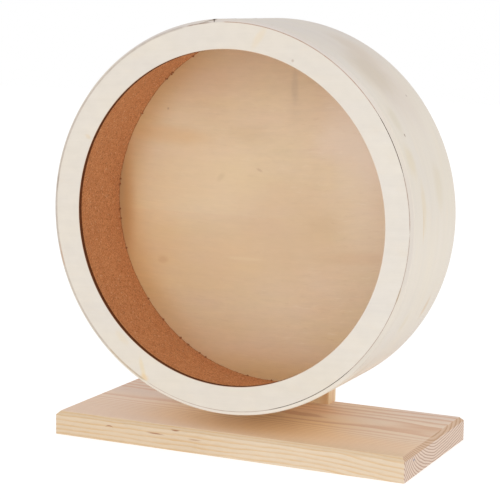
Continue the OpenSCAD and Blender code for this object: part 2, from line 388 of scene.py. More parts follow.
# %% [markdown]
# ## Making solids from rows of points
#
# Almost every piece is a section carried along a path: a ring's goes round the axle, and
# a board's outline goes up through its thickness. So one function skins rows of points
# into a closed solid, and another carries an outline once round the axle.

# %% Rows of points into a solid
def solid(name, rows, joined):
    """Skin rows of points. Joined rows close into a loop, others get end faces."""
    rows = np.asarray(rows, float)
    count, across = rows.shape[:2]
    shell = bmesh.new()
    grid = [[shell.verts.new(point * mm) for point in row] for row in rows]
    for i in range(count if joined else count - 1):
        here, there = grid[i], grid[(i + 1) % count]
        for j in range(across):
            k = (j + 1) % across
            shell.faces.new((here[j], here[k], there[k], there[j]))
    if not joined:
        shell.faces.new(grid[0])
        shell.faces.new(reversed(grid[-1]))
    bmesh.ops.remove_doubles(shell, verts=shell.verts, dist=1e-6)
    bmesh.ops.recalc_face_normals(shell, faces=shell.faces)
    mesh = bpy.data.meshes.new(name)
    shell.to_mesh(mesh)
    shell.free()
    piece = bpy.data.objects.new(name, mesh)
    scene.collection.objects.link(piece)
    return piece


def on_circle(outline, degrees):
    """Carry an outline of (radius, y) points to an angle round the axle."""
    turn = math.radians(degrees)
    return [
        (axle.x + r * math.cos(turn), y, axle.z + r * math.sin(turn)) for r, y in outline
    ]


def turned(name, section, steps):
    """A solid of revolution on the axle. Section gives its outline at each angle."""
    angles = [360 * i / steps for i in range(steps)]
    return solid(name, [on_circle(section(a), a) for a in angles], joined=True)


print("10 mm to the right of the axle:", on_circle([(10, 0)], 0))

# %% [markdown]
# No sanded edge is perfectly sharp, and the thin line of light on it is what makes it
# look real. So the corners of an outline are turned into short arcs.

# %% Ease the corners of an outline
def eased(corners, steps=4):
    """Turn each corner (u, v, radius) of a closed outline into an arc of that radius."""
    outline = []
    for i, (u, v, radius) in enumerate(corners):
        here = np.array((u, v), float)
        before = np.array(corners[i - 1][:2]) - here
        after = np.array(corners[(i + 1) % len(corners)][:2]) - here
        if not radius:
            outline.append(here)
            continue
        before = before / np.linalg.norm(before)
        after = after / np.linalg.norm(after)
        half = math.acos(float(np.clip(before @ after, -1, 1))) / 2
        middle = (before + after) / np.linalg.norm(before + after)
        centre = here + middle * radius / math.sin(half)
        first = here + before * radius / math.tan(half) - centre
        last = here + after * radius / math.tan(half) - centre
        start = math.atan2(first[1], first[0])
        sweep = math.remainder(math.atan2(last[1], last[0]) - start, 2 * math.pi)
        for k in range(steps + 1):
            angle = start + sweep * k / steps
            outline.append(centre + radius * np.array((math.cos(angle), math.sin(angle))))
    return outline


square = [(0, 0, 1), (9, 0, 1), (9, 9, 1), (0, 9, 1)]
print("a square with eased corners has", len(eased(square)), "points")

# %% [markdown]
# Two jobs come back for nearly every piece. One takes a hole out of it. The other gives
# it smooth shading between sharp edges, its finish, and its place in the frame.

# %% Cut a piece and settle it
sharp_from = math.radians(40)


def cut(piece, tool):
    """Cut one solid out of another, and clear the tool away."""
    saw = piece.modifiers.new("saw", "BOOLEAN")
    saw.object = tool
    saw.solver = "EXACT"
    graph = bpy.context.evaluated_depsgraph_get()
    piece.data = bpy.data.meshes.new_from_object(piece.evaluated_get(graph))
    piece.modifiers.clear()
    bpy.data.objects.remove(tool)


def settle(piece, finish, body, slot, *nodes):
    """Shade and finish a piece, and say what it rides on and stands for."""
    piece.data.polygons.foreach_set("use_smooth", [True] * len(piece.data.polygons))
    piece.data.set_sharp_from_angle(angle=sharp_from)
    piece.data.materials.clear()
    piece.data.materials.append(finish)
    weigh = piece.modifiers.new("flat_faces_first", "WEIGHTED_NORMAL")
    weigh.keep_sharp = True
    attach(piece, body)
    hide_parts(*nodes)
    print("%s: %d faces, on %s" % (piece.name, len(piece.data.polygons), body))


print("edges stay sharp from %d degrees on" % round(math.degrees(sharp_from)))

# %% [markdown]
# ## Pine with growth rings
#
# A pine board shows one set of rings on all its faces: arcs on the end, bands on the side
# and long tongues on top. Painted face by face, they never line up at the edges. Here
# every point works out its distance from the tree's core instead, as if the board were
# sawn from a trunk. In one ring pale wood darkens slowly and ends abruptly.

# %% The colour across one growth ring
darkens_from = 0.35
darkest_at = 0.88


def late_wood(growth):
    """Share of dark late wood at a distance counted in rings."""
    ring = growth.within()
    return ring.rises(darkens_from, darkest_at) * ring.falls(darkest_at, 1.0)


print("late wood is darkest at %.2f of a ring" % darkest_at)

# %% [markdown]
# ### The base board
#
# On the right-hand end the arcs hang lowest just behind the middle and run almost level
# towards the back. So the core lay above the board, and distance behind the low point
# counts for less. The long tongue on top, to the right of the wheel, is where the rings
# dip by about two millimetres.

# %% The growth of the base board
base_low, base_high = box_size("base_board")
ring_gap = 2.1
core_height = 52
low_point = 5
steep_side = 0.85
flat_side = 0.45
tongue_dip = 1.9
first_ring = 0.42


def base_growth(place):
    """Distance from the core of the tree, counted in growth rings."""
    x, y, z = place.parts()
    lean = y - low_point
    lean = (lean * steep_side).least(lean * flat_side)
    sag = x.rises(80, 145) * y.falls(-62, -10) * 5
    depth = core_height - z - sag
    radius = (depth * depth + lean * lean).root()
    tongue = y.near(21, 24) * x.falls(60, 140) * tongue_dip
    slow = place.cloud((110, 34, 34), 1.0, 4) * 1.5
    quick = place.cloud((30, 8, 8), 2.0, 9) * 0.5
    quick = quick + place.cloud((20, 8, 4), 2.0, 10) * y.falls(-64, -58) * 0.55
    return (radius - tongue + slow + quick) / ring_gap + first_ring


print("base board rings every %.1f mm, core %d mm above it" % (ring_gap, core_height))

# %% [markdown]
# The top has tones of its own, rosy to the left, and painted light and shade. Below the
# drum it is painted lighter and yellow, as warm light in the drum's shade, with painted
# shade under its front edge on the right. Behind the drum it is painted orange, a painted
# warm shade. Each is laid over the last through a mask, and the dark lines of the rings
# come last.

# %% The tones of the board's top
def board_top(place, late, upward):
    """The colour of the board's top, where upward is how far the surface looks up."""
    x, y, _ = place.parts()
    level_place = place.point(x, y, 0)
    rosy = x.falls(-90, 95) * 0.8 + place.cloud((60, 25, 25), 2.0, 2) * 0.25
    far_left = x.falls(-70, -30) * y.rises(-10, 25)
    deck = rosy.tint((237, 208, 178), (235, 212, 194))
    for mask, tone in (
        # Painted light: lighter and yellow on the top under the drum, in its shade.
        (level_place.blot((12, -20, 0), (120, 62, 1), 0.08), (252, 217, 172)),
        # Painted shade: orange on the top behind the drum.
        (level_place.blot((22, 32, 0), (56, 24, 1), 0.1) * 0.7, (238, 186, 136)),
        (far_left * 0.7, (218, 193, 178)),
        (x.rises(50, 110) * y.rises(10, 40) * 0.7, (229, 211, 202)),
        (x.rises(55, 95) * y.falls(30, 60) * y.rises(-38, -14) * 0.8, (236, 214, 192)),
    ):
        deck = deck.dyed(mask, tone)
    # Painted shade on the top under the drum's front edge, right of the middle.
    deck = deck.toned(x.rises(20, 70) * y.falls(-62, -48), (-0.07, -0.06, -0.1))
    deck = upward.rises(0.2, 0.6).tint((236, 210, 180), deck)
    strong = 0.4 + 0.2 * x.rises(-20, 30) * y.rises(-16, 2) + 0.25 * far_left
    return deck.dyed(late * strong, (210, 156, 118))


board_size = base_high - base_low
print("the board is %.0f by %.0f mm" % (board_size.x, board_size.y))

# %% [markdown]
# The dark marks along the front are resin, thin lines that bow with the grain. A row
# gives the place of one, its length, its bow and its strength.

# %% Pine for the base board
resin_marks = (
    (-92.5, 12.0, 9, 1.6, 0.65),
    (-53.3, 11.0, 17, 0.5, 0.7),
    (-58.0, 11.4, 10, 0.6, 0.3),
    (-37.5, 15.2, 9, -0.5, 0.75),
    (-40.5, 16.4, 8, -1.8, 0.3),
    (-21.7, 10.2, 14, -0.4, 0.45),
)


def pine_board():
    finish, place, facing = begin("pine_board")
    x, y, z = place.parts()
    aim_x, _, aim_z = facing.parts()
    end = aim_x.size().rises(0.3, 0.6)
    top = aim_z.size().rises(0.75, 0.95) * (1 - end)
    late = late_wood(base_growth(place))
    # A tan tone laid on the sloping bevels.
    bevel_faces = aim_z.size().rises(0.35, 0.6) * 0.5
    fade = place.cloud((24, 8, 4), 2.0, 8) * 0.5 + 0.62
    side = (late * fade).tint((226, 206, 180), (217, 179, 130))
    side = side.toned(x.falls(-30, 30), (-0.05, -0.075, -0.11))
    side = side.dyed(bevel_faces * (1 - end) * 0.6, (226, 194, 152))
    sawn = (late * 0.8).tint((226, 204, 186), (164, 123, 100))
    sawn = sawn.dyed(bevel_faces, (206, 162, 118))
    colour = top.tint(end.tint(side, sawn), board_top(place, late, aim_z))
    fibre = place.cloud((14, 0.5, 0.5), 2.0, 1)
    speck = place.cloud(0.6, 1.0, 5)
    pores = place.cloud((3.4, 1.0, 1.0), 2.0, 12)
    colour = colour * (1 + (fibre * 0.05 + pores * 0.05) * (1 - end) + speck * end * 0.035)
    colour = colour.toned(place.cloud((50, 22, 14), 2.0, 7), 0.035)
    for mark_x, mark_z, length, bow, depth in resin_marks:
        arch = (x - mark_x) * (x - mark_x) * (-4 * bow / (length * length))
        reach = (length / 2, 1, 0.75)
        resin = place.point(x, 0, z - arch).blot((mark_x, 0, mark_z), reach, 0.1)
        colour = colour.dyed(resin * y.falls(-65, -64) * depth, (152, 86, 46))
    smudge = place.blot((139, -46.8, 12.3), (3, 2.4, 1.2), 0.2)
    colour = colour.dyed(smudge * 0.8, (132, 138, 160))
    relief = late * 0.03 + fibre * 0.015 + speck * 0.01
    return close(finish, colour, 0.62 + fibre * 0.05, relief, shine=0.35)


pine_base = pine_board()

# %% [markdown]
# The board is a stack of outlines: each level gives how far the outline is set in. That
# carries the bevel along all four top edges and round the corners, and keeps its lines
# soft, as sandpaper leaves them.

# %% Build the base board
bevel = 3
soft_line = 1.3
corner_r = 0.9
inward = 14


def board_outline(inset, z):
    """The board's outline at one level, set in by a distance."""
    low_x, high_x = base_low.x + inset, base_high.x - inset
    low_y, high_y = base_low.y + inset, base_high.y - inset
    corners = [
        (low_x, low_y, corner_r),
        (high_x, low_y, corner_r),
        (high_x, high_y, corner_r),
        (low_x, high_y, corner_r),
    ]
    return [(u, v, z) for u, v in eased(corners)]


board_edge = eased([
    (inward, base_low.z, 0),
    (0, base_low.z, 0.4),
    (0, base_high.z - bevel, soft_line),
    (bevel, base_high.z, soft_line),
    (inward, base_high.z, 0),
])
base = solid("pine_base_board", [board_outline(i, z) for i, z in board_edge], joined=False)
print("the bevel starts %.1f mm above the ground" % (base_high.z - bevel))

# %% [markdown]
# Two screws come up through the board into the post. Their holes are the screws' own
# outline made a hair larger, used as a cutter on the board and again on the post.

# %% Cut the screw holes
screw_low, screw_high = box_size("base_screws")
screw_head_r = 4.0
screw_shank_r = 2.0
screw_rim = 0.5
screw_point = 5
tip_r = 0.25
under_board = 1
hair = 0.05
round_steps = 48
screw_x = screw_high.x - screw_head_r
screw_y = screw_high.y - screw_head_r


def screw_cutter(x):
    """A cutter with the outline of a screw at x, a hair larger all round."""
    head, shank = screw_head_r + hair, screw_shank_r + hair
    neck = screw_low.z + screw_rim + head - shank
    outline = [
        (head, base_low.z - under_board),
        (head, screw_low.z + screw_rim),
        (shank, neck),
        (shank, screw_high.z - screw_point),
        (hair + tip_r, screw_high.z + hair),
    ]
    rows = []
    for r, z in outline:
        turns = [2 * math.pi * k / round_steps for k in range(round_steps)]
        rows.append([(x + r * math.cos(a), screw_y + r * math.sin(a), z) for a in turns])
    return solid("screw_cutter", rows, joined=False)


for side in (-1, 1):
    cut(base, screw_cutter(side * screw_x))
settle(base, pine_base, "stand", "base_pine", "base_board")

# %% [markdown]
# ## The post
#
# The post is pine too, but its grain runs upright, and it was sawn from the side of a
# trunk, so its rings show as long stripes. From the front only its foot shows, warm from
# the light that the board throws back.

# %% Rings about a far core, and pine for the post
def rings_about(place, core, squeeze, wander, ring_width):
    """Late wood of a piece sawn beside its core, with rings squeezed along X."""
    x, y, _ = place.parts()
    across = x - core[0]
    deep = y - core[1]
    radius = (across * across * squeeze + deep * deep).root() + wander * 3
    return late_wood(radius / ring_width)


def pine_post():
    finish, place, facing = begin("pine_post")
    end = facing.parts()[2].size().rises(0.75, 0.95)
    wander = place.cloud((30, 30, 160), 2.0, 3)
    late = rings_about(place, (-46, 105), 0.12, wander, 3.1)
    colour = (late * 0.7).tint((243, 216, 176), (226, 180, 128))
    colour = colour.dyed(end * 0.6, (206, 172, 140))
    rose = place.blot((35, 59, 60), (3, 2.4, 90)) * 0.5
    colour = colour.dyed(rose, (222, 176, 148))
    fibre = place.cloud((0.5, 0.5, 16), 2.0, 1)
    colour = colour.toned(fibre, 0.05)
    return close(finish, colour, 0.6 + fibre * 0.05, late * 0.03 + fibre * 0.015, shine=0.35)


pine_upright = pine_post()

# %% [markdown]
# The post is built like the board: an outline carried from front to back, with its lines
# softened. The bore for the bolt and the two screw holes are cut out of it.

# %% Build the post
post_low, post_high = box_size("upright_post")
post_half = (post_high.x - post_low.x) / 2
post_soft = 1.3
post_inward = 10
post_bore_r = 4.3
beyond_post = 2


def post_outline(inset, y):
    """The post's outline seen from the front: straight sides under a round top."""
    reach = post_half - inset
    outline = [(-reach, y, post_low.z), (reach, y, post_low.z)]
    for step in range(round_steps + 1):
        turn = math.pi * step / round_steps
        outline.append((reach * math.cos(turn), y, axle.z + reach * math.sin(turn)))
    return outline


def axle_cutter(radius, front, rear, steps=64):
    """A plain round cutter on the axle."""
    rows = []
    for y in (front, rear):
        rows.append([on_circle([(radius, y)], 360 * k / steps)[0] for k in range(steps)])
    return solid("axle_cutter", rows, joined=False)


post_edge = eased([
    (post_inward, post_low.y, 0),
    (0, post_low.y, post_soft),
    (0, post_high.y, post_soft),
    (post_inward, post_high.y, 0),
])
post = solid("pine_post", [post_outline(i, y) for i, y in post_edge], joined=False)
cut(post, axle_cutter(post_bore_r, post_low.y - beyond_post, post_high.y + beyond_post))
for side in (-1, 1):
    cut(post, screw_cutter(side * screw_x))
settle(post, pine_upright, "stand", "post_pine", "upright_post")

# %% [markdown]
# ## The joint between ring and skin
#
# The ring sits in a step cut into the skin's front edge, almost a millimetre off to the
# left, so the skin's edge shows three millimetres wide on the right and half as wide on
# the left. The joint is a circle about its own centre, and it stands open in two places.
# Glue stains it brown at the top and grey on the left. A row of the stains gives the
# first and last degree, the width, the strength and the tone.

# %% The course of the joint and its stain
joint_mean = 137.55
joint_off = 0.8
joint_side = math.radians(165)
joint_way = Vector((math.cos(joint_side), 0, math.sin(joint_side)))
joint_centre = axle + joint_way * joint_off
hairline = 0.02
gape = 0.18
gape_taper = 4
open_stretches = ((15, 37), (284, 316))
glue_stains = (
    (0, 17, 0.4, 0.65, (152, 106, 82)),
    (35, 92, 0.45, 0.65, (172, 120, 86)),
    (95, 104, 0.6, 0.6, (140, 100, 74)),
    (103, 228, 1.15, 0.42, (166, 148, 134)),
    (169, 176, 0.7, 0.35, (130, 108, 94)),
    (190, 199, 0.8, 0.4, (206, 150, 104)),
    (226, 243, 1.1, 0.55, (176, 148, 108)),
    (243, 290, 0.4, 0.5, (160, 118, 96)),
    (312, 360, 0.35, 0.55, (158, 116, 92)),
    (339, 345, 0.7, 0.6, (176, 148, 108)),
)
seam = 94.0
seam_run = 7.0


def joint_r(degrees):
    """Radius of the joint at an angle above the drum's right side."""
    return joint_mean + joint_off * math.cos(math.radians(degrees) - joint_side)


def joint_gap(degrees):
    """Half the width of the joint: a hairline, but wider where it stands open."""
    half = hairline
    for start, end in open_stretches:
        inside = min(degrees % 360 - start, end - degrees % 360)
        half += gape * min(1.0, max(0.0, inside / gape_taper))
    return half


def glue_line(colour, place, angle):
    """The colour with the stain that glue has left along the joint."""
    x, _, z = (place - tuple(joint_centre)).parts()
    off = (place.point(x, 0, z).size() - joint_mean).size()
    flicker = place.cloud(5, 2.0, 21) * 0.6 + 0.9
    for start, end, wide, depth, tone in glue_stains:
        first = same_turn(start, seam)
        last = first + end - start
        along = angle.rises(first, first + 2) * angle.falls(last - 2, last)
        mask = along * off.falls(wide * 0.3, wide) * flicker * depth
        colour = colour.dyed(mask, tone)
    return colour


print("joint at %.2f mm on the right, %.2f mm on the left" % (joint_r(0), joint_r(180)))

# %% [markdown]
# ## The bent skin
#
# The skin is one strip of three-ply, bent round and glued where its ends taper past each
# other, just left of the top. There the outer ply ends in a feather edge that has lifted
# a little and torn, with brown glue below it. Its finish must run round the rim, so the
# place is unrolled first: degrees round the axle become millimetres of skin. The cut that
# this needs is laid where the real strip has its own.

# %% Pale plywood, as a colour and a relief
def pale_veneer(unrolled, shift):
    """Colour and fibres of a pale sanded veneer. X of the place runs with the grain."""
    fibre = unrolled.cloud((26, 0.7, 40), 3.0, shift)
    streak = unrolled.cloud((70, 5, 60), 2.0, shift + 1)
    patch = unrolled.cloud((55, 26, 60), 2.0, shift + 2)
    warm = (patch * 0.6 + 0.4).tint((223, 215, 205), (226, 216, 199))
    mottle = unrolled.cloud((16, 7, 60), 3.0, shift + 3)
    colour = warm * (1 + fibre * 0.02 + streak * 0.03 + patch * 0.015)
    return colour.dyed(mottle.rises(0.05, 0.6) * 0.14, (231, 212, 186)), fibre


print("one degree of skin is %.2f mm long" % (math.radians(1) * drum_r))

# %% [markdown]
# The skin carries painted light and shade: it is painted palest above the middle, with
# painted shade low down and near the top, and its downward faces are painted lighter so
# that they throw more light onto the board. Its smudges are soft spots. A row gives the
# degrees and the Y of one, its reach along the rim and across it, its strength and its tone.

# %% Pale plywood for the skin
skin_marks = (
    (46, -16, 62, 44, 0.2, (208, 184, 172)),
    (48.5, -27, 32, 30, 0.24, (189, 170, 134)),
    (11, -8, 24, 11, 0.2, (214, 196, 154)),
    (-29, -30, 12, 7, 0.2, (214, 196, 156)),
    (32, -48, 15, 9, 0.22, (204, 190, 150)),
    (20, -51, 16, 10, 0.22, (216, 194, 142)),
    (7, -42, 24, 6, 0.25, (222, 200, 154)),
    (27.3, -44.5, 1.7, 1.3, 0.7, (126, 92, 74)),
    (1.5, -44.5, 16, 1.6, 0.35, (216, 186, 134)),
    (-26, 4.5, 13, 4.5, 0.32, (204, 164, 110)),
    (39, 0, 1.4, 1.0, 0.5, (120, 90, 74)),
    (60, -5, 30, 20, 0.2, (201, 176, 140)),
    (-50, -40, 26, 10, 0.2, (201, 176, 140)),
)


def along_skin(degrees):
    """Millimetres of skin up to an angle."""
    return same_turn(degrees, seam) * math.radians(1) * drum_r


def skin_veneer():
    finish, place, facing = begin("skin_veneer")
    _, y, z = place.parts()
    angle, radius = round_the_axle(place, seam)
    arc = angle * (math.radians(1) * drum_r)
    flat = place.point(arc, y, 0)
    colour, fibre = pale_veneer(place.point(arc, y, radius), 11)
    # Painted light: the downward faces are made lighter, so they throw more light onto the board.
    lightened_underside = facing.parts()[2].falls(-0.95, -0.3) * y.rises(-63, -58)
    colour = colour * (lightened_underside * (0.16, 0.18, 0.2) + 1.04)
    # Painted shade low down, painted light above the middle, painted shade near the top.
    colour = colour.toned(z.falls(60, 165) * z.rises(63, 79), -0.11)
    colour = colour.toned(z.rises(200, 245), (0.03, 0.03, 0.035))
    colour = colour.toned(z.rises(262, 305), (-0.07, -0.07, -0.035))
    for degrees, at_y, reach, wide, depth, tone in skin_marks:
        spot = flat.blot((along_skin(degrees), at_y, 0), (reach, wide, 1), 0.25)
        colour = colour.dyed(spot * depth, tone)
    front_edge = facing.parts()[1].falls(-0.95, -0.4) * z.rises(110, 150)
    colour = colour.toned(front_edge, (-0.1, -0.1, -0.08))
    colour = glue_line(colour, place, angle)
    lap = angle.falls(seam + 0.35, seam + 1.1) + angle.rises(seam + 359.2, seam + 359.8)
    torn = flat.cloud((1.2, 2.6, 1), 3.0, 6).rises(-0.25, 0.25)
    lap = lap * (0.35 + torn * 0.4) * radius.rises(skin_in + 1.2, drum_r - 0.4)
    colour = colour.dyed(lap, (142, 108, 82))
    dab = flat.blot((along_skin(94.1), -63.2, 0), (1.2, 0.8, 1))
    colour = colour.dyed(dab * 0.75, (70, 52, 42))
    return close(finish, colour, 0.6 + fibre * 0.04, fibre * 0.012, shine=0.3)


pale_skin = skin_veneer()

# %% [markdown]
# The strip is a section that travels once round and a little more. On its first degrees
# only the outer face exists and on its last only the inner one, so the two wedges lie on
# each other as the real ones do. The feather edge wanders, and lifts by a few tenths.

# %% The section of the skin
feather = 0.12
feather_lift = 0.22
glue_gap = 0.1
ring_play = 0.05
rows_across = 40
long_edge = 10


def divided(outline, parts):
    """Split the long edges of an outline, which run along the axle, into equal parts."""
    points = []
    for here, there in zip(outline, outline[1:] + outline[:1]):
        points.append(here)
        if abs(there[1] - here[1]) > long_edge:
            points += [here + (there - here) * k / parts for k in range(1, parts)]
    return points


def skin_section(turned_by):
    """Outline of the strip where it has gone this many degrees from its outer end."""
    outer, inner = drum_r, skin_in
    wedge = drum_r - skin_in - feather
    lift = 0.0
    if turned_by < seam_run:
        share = turned_by / seam_run
        inner = max(skin_in, drum_r - feather - wedge * share + glue_gap * (1 - share))
        lift = feather_lift * (1 - share) ** 2
    if turned_by > 360:
        share = (turned_by - 360) / seam_run
        outer = min(drum_r, drum_r - glue_gap - wedge * share)
    ease = min(0.4, (outer - inner) * 0.45)
    at = seam + turned_by
    seat = joint_r(at) + joint_gap(at)
    if turned_by < seam_run:
        seat = max(seat, inner)
    seat = min(seat, outer - 0.05)
    lip = min(1.6, (outer - seat) * 0.8)
    outline = eased([
        (seat, drum_front, min(0.08, (outer - seat) * 0.3)),
        (outer, drum_front, lip),
        (outer, drum_back, ease),
        (inner, drum_back, ease),
        (inner, ring_back + ring_play, 0),
        (seat, ring_back + ring_play, 0),
    ], 3)
    lifted = []
    for r, y in divided(outline, rows_across):
        flutter = noise.noise(Vector((y * 0.18, turned_by * 0.6, 3.0)))
        lifted.append((r + lift * (0.5 + flutter), y))
    return lifted


print("the skin's section has %d points" % len(skin_section(180)))

# %% [markdown]
# Along its path a row of the strip is a section set at its angle, and the first rows are
# torn: noise along the edge moves their points round the rim.

# %% Build the skin
tear = 0.55
skin_steps = 360
lap_steps = 15


def skin_row(turned_by):
    """One row of the strip, its outer end torn by up to a millimetre."""
    row = []
    for r, y in skin_section(turned_by):
        torn = noise.noise(Vector((y * 0.35, 0.0, 0.0))) * tear * max(0.0, 1 - turned_by / 2)
        row += on_circle([(r, y)], seam + turned_by + torn)
    return row


stations = list(np.linspace(0, seam_run, lap_steps))
stations += list(np.linspace(seam_run, 360, skin_steps)[1:])
stations += list(np.linspace(360, 360 + seam_run, lap_steps)[1:])
skin = solid("bent_plywood_skin", [skin_row(s) for s in stations], joined=False)
settle(skin, pale_skin, "wheel", "skin_plywood", "drum_skin")

# %% [markdown]
# ## The front ring
#
# The ring is cut from flat three-ply with a laser. The beam scorches the cut walls, and
# that shows as the crisp dark line round the mouth. Its face is the cleanest wood of the
# whole wheel, with a faint upright dapple and a few marks.

# %% Pale plywood cut by a laser
ring_marks = (
    (79.3, 130, 0.4, 4.2, 12, 0.28, (228, 204, 164)),
    (66.3, 123, 0, 1.4, 1.4, 0.4, (160, 132, 108)),
    (154.2, 123.5, 0, 2.2, 4, 0.35, (222, 196, 156)),
    (240, 131.5, -0.9, 3.5, 9, 0.35, (230, 204, 146)),
    (241.9, 136, 0, 5, 3.5, 0.45, (230, 192, 132)),
    (228, 124, 0, 9, 4, 0.25, (224, 200, 160)),
)


def ring_veneer():
    finish, place, facing = begin("ring_veneer")
    x, y, z = place.parts()
    angle, radius = round_the_axle(place, seam)
    flat = place.point(x * 0.999 + z * 0.05, z * 0.999 - x * 0.05, y)
    colour, fibre = pale_veneer(flat, 31)
    for degrees, at_r, lean, wide, high, depth, tone in ring_marks:
        first = same_turn(degrees, seam)
        arc = (angle - first) * (math.radians(1) * at_r) + (radius - at_r) * lean
        spot = place.point(arc, radius, 0).blot((0, at_r, 0), (wide, high, 1), 0.25)
        colour = colour.dyed(spot * depth, tone)
    dapple = place.cloud((9, 50, 6), 3.0, 33)
    colour = colour.toned(dapple, 0.045)
    colour = colour.toned(z.rises(60, 110), (0.0, 0.005, 0.022))
    colour = colour.toned(x.rises(60, 120), (0.015, 0.025, 0.035))
    wall = (1 - facing.parts()[1].size()).rises(0.45, 0.8)
    scorched = (1 + place.cloud((3, 9, 3), 2.0, 3) * 0.3) * paint(98, 54, 27)
    rim = radius.falls(mouth_r + 0.05, mouth_r + 0.55) * 0.45
    colour = colour.dyed(rim, (204, 152, 102))
    colour = glue_line(colour, place, angle)
    colour = wall.tint(colour, scorched)
    return close(finish, colour, 0.6 + fibre * 0.04 + wall * 0.35, fibre * 0.01, shine=0.2)


pale_ring = ring_veneer()

# %% [markdown]
# The ring ends where its joint with the skin starts, so its outer radius wanders with the
# joint. Its edges are soft at the mouth and crisp at the joint.

# %% Build the ring
full_steps = 360


def ring_section(degrees):
    """The ring's outline, which ends where the joint starts."""
    outer = joint_r(degrees) - joint_gap(degrees)
    return eased([
        (mouth_r, ring_front, 0.2),
        (mouth_r, ring_back, 0.2),
        (outer, ring_back, 0.3),
        (outer, ring_front, 0.08),
    ])


ring = turned("plywood_front_ring", ring_section, full_steps)
settle(ring, pale_ring, "wheel", "ring_plywood", "front_ring")

# %% [markdown]
# ## The back panel
#
# The panel is plywood a shade darker. Its grain runs level with a slight rise to the
# right, and in it lies a short, curled figure, clearest on the right. Noise stretched
# along the grain gives the fibres, and noise moved by other noise gives the curls.

# %% The veneer of the panel
grain_rise = 0.03
grain_fan = 0.0004


def panel_grain(flat, x):
    """The panel's wood as it grew: its front, its back and its fibres."""
    fibre = flat.cloud((18, 0.7, 50), 3.0, 41)
    streak = flat.cloud((60, 5, 50), 2.0, 42)
    patch = flat.cloud((62, 20, 50), 2.0, 43)
    other = flat.cloud((48, 26, 50), 2.0, 44)
    mottle = flat.cloud((9, 3.5, 50), 3.0, 46)
    curl = flat.cloud((10, 7, 50), 2.0, 47) * 1.8
    wavy = (flat + flat.point(0, curl, 0)).cloud((10, 1.9, 50), 3.0, 45)
    figure = 0.5 + 0.5 * x.rises(-30, 60)
    front = (patch * 0.9 + 0.5).tint((238, 214, 185), (237, 215, 176))
    front = front.dyed(other.rises(-0.1, 0.8) * 0.35, (238, 206, 166))
    front = front * (1 + fibre * 0.034 + streak * 0.03 + mottle * 0.05)
    front = front.dyed(wavy.rises(0.15, 0.65) * figure * 0.45, (250, 232, 206))
    front = front.dyed(wavy.falls(-0.65, -0.15) * figure * 0.35, (214, 184, 146))
    rear = patch.tint((226, 202, 168), (222, 194, 152))
    return front, rear * (1 + fibre * 0.03 + streak * 0.05), fibre


print("the grain rises %.0f mm in 100" % (grain_rise * 100))

# %% [markdown]
# Over the grain lie broad changes of tone. Several are painted light and shade: painted
# shade at the top, a browner painted shade at the bottom, painted orange-brown shade beside
# the cork on the left, as if tinted by light from the cork, and painted light on the left
# above the bottom. A faint step crosses the left half, as where two leaves of veneer meet.
# Each is a mask and a share, and a loop lays them on.

# %% The tones of the panel
step_low = 162.8
step_high = 164.2


def panel_tones_and_shade(front, x, z):
    """Broad tones and painted light and shade, each a mask and its share of red, green and blue.
    """
    left_half = x.falls(0, 20)
    from_axle = x.point(x, 0, z - axle.z).size()
    # Painted shade along the cork on the left, tinted orange as if by light from the cork.
    cork_shade_and_glow = from_axle.rises(104, 132) * x.falls(-85, -35) * (1 - z.falls(75, 105) * 0.3)
    for mask, share in (
        (x.size().rises(35, 105), (0.03, 0.1, 0.13)),
        # Painted shade at the top.
        (z.rises(225, 290), (-0.11, -0.11, -0.14)),
        # Painted light on the left, above the bottom.
        (x.falls(-102, -60) * z.falls(165, 205) * z.rises(80, 110), (0.07, 0.045, 0.0)),
        (z.falls(step_low, step_high) * z.rises(140, 162) * left_half, (0.0, -0.016, -0.02)),
        (z.rises(step_low, step_high) * z.falls(165, 182) * left_half, (0.004, 0.012, 0.012)),
        (x.point(x, 0, z).blot((0, 0, 180), (115, 1, 130)), (-0.04, -0.03, 0.0)),
        # Painted shade at the bottom, browner.
        (z.falls(40, 66), (-0.05, -0.1, -0.26)),
        (z.falls(60, 130) * x.rises(-30, 60), (0.05, 0.09, 0.1)),
        # Painted shade beside the cork, tinted orange as if by light from the cork.
        (cork_shade_and_glow, (-0.1, -0.22, -0.4)),
    ):
        front = front.toned(mask, share)
    return front


print("the step lies %.1f mm below the axle" % (axle.z - step_high))

# %% [markdown]
# Last come soft patches and small knots, and along the cork's edge a painted orange glow
# and a painted grey shade. A row gives the middle of one, its reach across and up, its
# slope, its strength and its tone.

